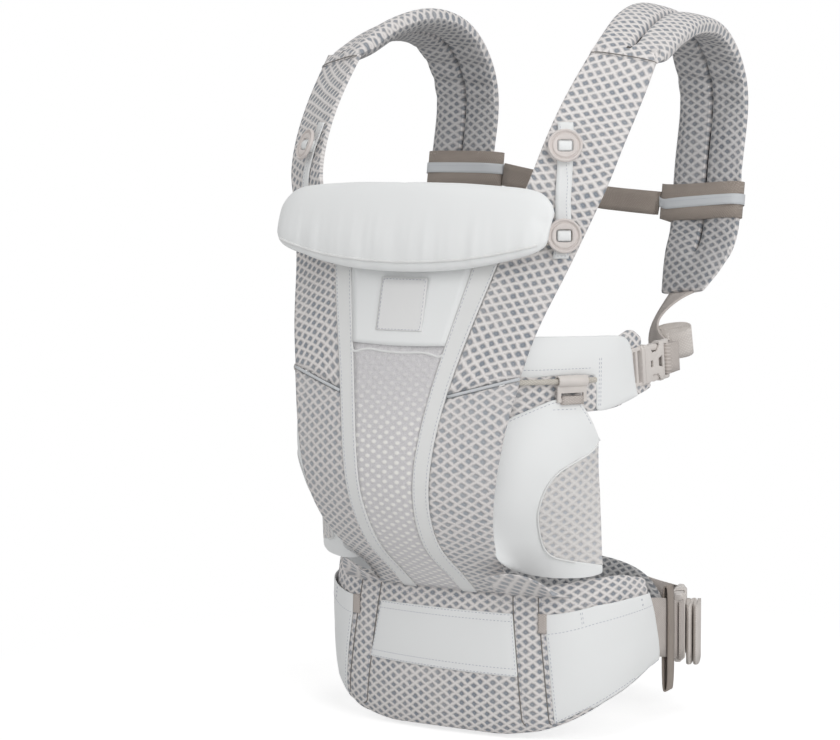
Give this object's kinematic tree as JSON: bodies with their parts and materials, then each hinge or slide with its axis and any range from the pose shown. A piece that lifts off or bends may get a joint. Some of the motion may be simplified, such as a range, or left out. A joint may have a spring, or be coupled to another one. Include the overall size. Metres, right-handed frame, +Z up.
{
  "type": "soft structured baby carrier",
  "caption": "Front-worn soft baby carrier with padded waistband, mesh seat panel, fold-down head support, looped shoulder straps, chest strap and side-release buckles.",
  "frame": {"origin": "centre of the wearer's waist ring, level with the lowest edge of the waistband", "axes": "+Z up along the worn body, -Y out through the front panel, +X towards the side with the waist buckle"},
  "size_m": [0.3374, 0.3285, 0.6055],
  "materials": {
    "spacer_mesh": "matte air mesh with a diamond lattice",
    "lining_mesh": "matte fine mesh",
    "window_mesh": "fine mesh with a slight sheen",
    "softshell": "smooth matte softshell",
    "binding": "smooth folded tape",
    "label": "blank woven label",
    "reflective_tape": "satin reflective tape",
    "cord": "round elastic cord",
    "foam": "open-cell foam",
    "webbing": "woven webbing",
    "elastic": "flat woven elastic",
    "plastic": "matte moulded",
    "button_plastic": "matte moulded"
  },
  "bodies": {
    "carrier": {"blank_label": "label", "body_lining": "lining_mesh", "button_strips": "softshell", "front_yoke": "softshell", "head_support_loops": "cord", "left_buckle_arms": "plastic", "left_buckle_plug": "plastic", "left_leg_panel": "softshell", "left_seat_panel": "spacer_mesh", "left_shoulder_webbing": "webbing", "left_side_panel": "spacer_mesh", "left_strap_pad": "spacer_mesh", "left_wing": "softshell", "leg_mesh": "window_mesh", "pocket_tabs": "softshell", "reflective_piping": "reflective_tape", "right_buckle_arms": "plastic", "right_buckle_plug": "plastic", "right_leg_panel": "softshell", "right_seat_panel": "spacer_mesh", "right_shoulder_webbing": "webbing", "right_side_panel": "spacer_mesh", "right_strap_pad": "spacer_mesh", "right_wing": "softshell", "safety_loop": "elastic", "seat_bindings": "binding", "side_pockets": "softshell", "strap_buttons": "button_plastic", "strap_foams": "foam", "waist_buckle_socket": "plastic", "waist_webbing_left": "webbing", "waist_webbing_right": "webbing", "waistband_cover": "spacer_mesh", "waistband_foam": "foam", "waistband_lining": "lining_mesh", "waistband_patch": "softshell", "window_mesh": "window_mesh", "wing_cords": "cord", "wing_pads": "spacer_mesh"},
    "head_pillow": {"head_support": "softshell", "head_support_foam": "foam"},
    "right_strap_socket": {"right_buckle_socket": "plastic", "right_webbing_roll": "webbing"},
    "left_strap_socket": {"left_buckle_socket": "plastic", "left_webbing_roll": "webbing"},
    "chest_strap": {"chest_bands": "elastic", "chest_webbing_left": "webbing", "chest_webbing_right": "webbing", "chest_buckle_socket": "plastic"},
    "chest_plug": {"chest_buckle_plug": "plastic", "chest_buckle_arms": "plastic"},
    "waist_plug": {"waist_buckle_plug": "plastic", "waist_buckle_arms": "plastic", "waist_webbing_tail": "webbing"},
    "right_hook": {"right_leg_hook": "plastic", "right_leg_tab": "webbing"},
    "left_hook": {"left_leg_hook": "plastic", "left_leg_tab": "webbing"},
    "lumbar": {"lumbar_pad": "spacer_mesh", "lumbar_foam": "foam"}
  },
  "joints": [
    {"name": "head_support_flip", "type": "hinge", "parent": "carrier", "child": "head_pillow", "pos_m": [0, -0.157, 0.452], "axis": [-1, 0, 0], "range_deg": [0, 150], "deforming": ["head_support_loops"]},
    {"name": "chest_strap_height", "type": "slide", "parent": "carrier", "child": "chest_strap", "axis": [0, 0.1527, 0.9883], "range_m": [-0.008, 0.034]},
    {"name": "chest_buckle_release", "type": "slide", "parent": "chest_strap", "child": "chest_plug", "axis": [0.9833, -0.0278, -0.1801], "range_m": [0, 0.026], "deforming": ["chest_webbing_right", "chest_buckle_arms"]},
    {"name": "right_shoulder_release", "type": "slide", "parent": "carrier", "child": "right_strap_socket", "axis": [0.0904, 0.9904, 0.1045], "range_m": [0, 0.028], "deforming": ["right_shoulder_webbing", "right_buckle_arms"]},
    {"name": "left_shoulder_release", "type": "slide", "parent": "carrier", "child": "left_strap_socket", "axis": [-0.0904, 0.9904, 0.1045], "range_m": [0, 0.028], "deforming": ["left_shoulder_webbing", "left_buckle_arms"]},
    {"name": "waist_release", "type": "slide", "parent": "carrier", "child": "waist_plug", "axis": [-0.4384, 0.8988, 0], "range_m": [0, 0.032], "deforming": ["waist_webbing_left", "waist_buckle_arms"]},
    {"name": "right_hook_slide", "type": "hinge", "parent": "carrier", "child": "right_hook", "pos_m": [-0.00917, -0.04757, 0.2985], "axis": [0, 0, 1], "range_deg": [-3, 3]},
    {"name": "left_hook_slide", "type": "hinge", "parent": "carrier", "child": "left_hook", "pos_m": [0.00917, -0.04757, 0.2985], "axis": [0, 0, 1], "range_deg": [-3, 3]},
    {"name": "lumbar_slide", "type": "hinge", "parent": "carrier", "child": "lumbar", "pos_m": [0, -0.11457, 0.083], "axis": [0, 0, 1], "range_deg": [-2.4, 2.4]}
  ]
}
